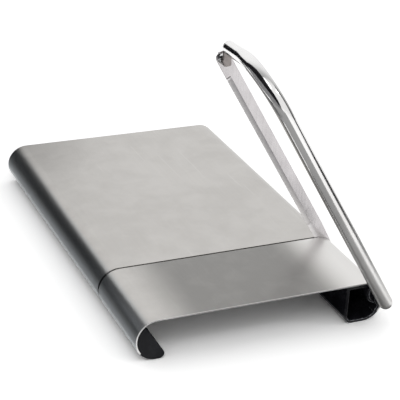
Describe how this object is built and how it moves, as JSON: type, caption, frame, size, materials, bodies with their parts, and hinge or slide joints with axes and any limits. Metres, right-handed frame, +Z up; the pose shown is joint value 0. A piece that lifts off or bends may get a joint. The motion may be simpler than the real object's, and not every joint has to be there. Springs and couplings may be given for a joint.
{
  "type": "lever cheese slicer",
  "caption": "Cheese slicer: folded steel board on black strips, with a bent tube arm that swings a blade down into a slot across the board.",
  "frame": {"origin": "middle of the whole footprint, arm raised, on the table", "axes": "+Z up, +Y along the board's length to the rear, +X across the board towards the pivot side"},
  "size_m": [0.1844, 0.313, 0.1998],
  "materials": {
    "brushed_sheet": "brushed, fine grain along the length",
    "black_foot": "satin black",
    "black_housing": "glossy black",
    "washer_nylon": "natural nylon",
    "polished_tube": "polished tube, satin along its lower half",
    "axle_steel": "turned",
    "blade_steel": "polished, ground bevel",
    "lug_steel": "bead blasted",
    "chrome_small": "bright",
    "screw_steel": "plated"
  },
  "bodies": {
    "base": {"board": "brushed_sheet", "left_foot_strip": "black_foot", "right_foot_strip": "black_foot", "pivot_housing": "black_housing", "pivot_spacer": "black_housing", "friction_washer": "washer_nylon"},
    "arm": {"handle_tube": "polished_tube", "axle": "axle_steel", "blade": "blade_steel", "blade_lug": "lug_steel", "tip_collar": "chrome_small", "tip_screw": "screw_steel", "tip_nut": "screw_steel", "hub_washer": "screw_steel", "hub_nut": "screw_steel"}
  },
  "joints": [
    {"name": "arm_swing", "type": "hinge", "parent": "base", "child": "arm", "pos_m": [0.0859, -0.0654, 0.0207], "axis": [0, -1, 0], "range_deg": [-100, 58]}
  ]
}
